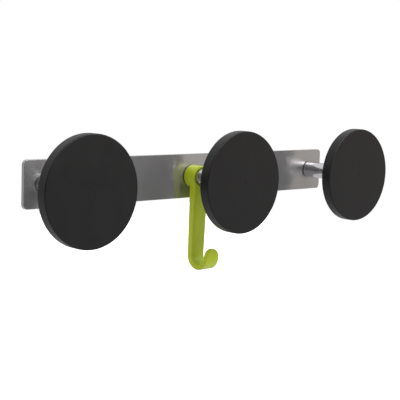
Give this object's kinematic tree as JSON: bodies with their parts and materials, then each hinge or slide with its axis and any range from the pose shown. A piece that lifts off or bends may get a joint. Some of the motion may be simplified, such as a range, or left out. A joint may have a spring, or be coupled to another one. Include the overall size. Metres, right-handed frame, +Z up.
{
  "type": "wall coat rail",
  "caption": "Wall-mounted flat steel rail with round-headed coat pegs on steel posts and a green J hook that swings on one post.",
  "frame": {"origin": "centre of the rail's back face, which lies on the wall", "axes": "+X along the rail, to the right of a viewer who faces the wall; +Y into the wall; +Z up"},
  "size_m": [0.522, 0.0887, 0.1608],
  "materials": {
    "brushed_rail": "brushed along its length, satin",
    "satin_steel": "turned and satin polished",
    "black_head": "fine matte moulded texture",
    "green_plastic": "satin moulded, lime green",
    "black_nylon": "plain moulded",
    "zinc_steel": "bright zinc plated"
  },
  "bodies": {
    "rack": {"wall_rail": "brushed_rail", "hook_bush": "zinc_steel", "hook_slip_washer": "black_nylon", "left_rear_screw": "zinc_steel", "left_base_washer": "black_nylon", "left_post": "satin_steel", "left_head_back_plate": "black_head", "left_head_washer": "zinc_steel", "left_head_screw": "zinc_steel", "left_head_cap": "black_head", "middle_rear_screw": "zinc_steel", "middle_base_washer": "black_nylon", "middle_post": "satin_steel", "middle_head_back_plate": "black_head", "middle_head_washer": "zinc_steel", "middle_head_screw": "zinc_steel", "middle_head_cap": "black_head", "right_rear_screw": "zinc_steel", "right_base_washer": "black_nylon", "right_post": "satin_steel", "right_head_back_plate": "black_head", "right_head_washer": "zinc_steel", "right_head_screw": "zinc_steel", "right_head_cap": "black_head"},
    "hook": {"accessory_hook": "green_plastic"}
  },
  "joints": [
    {"name": "hook_swing", "type": "hinge", "parent": "rack", "child": "hook", "pos_m": [0, -0.006, 0], "axis": [0, 1, 0], "continuous": true}
  ]
}
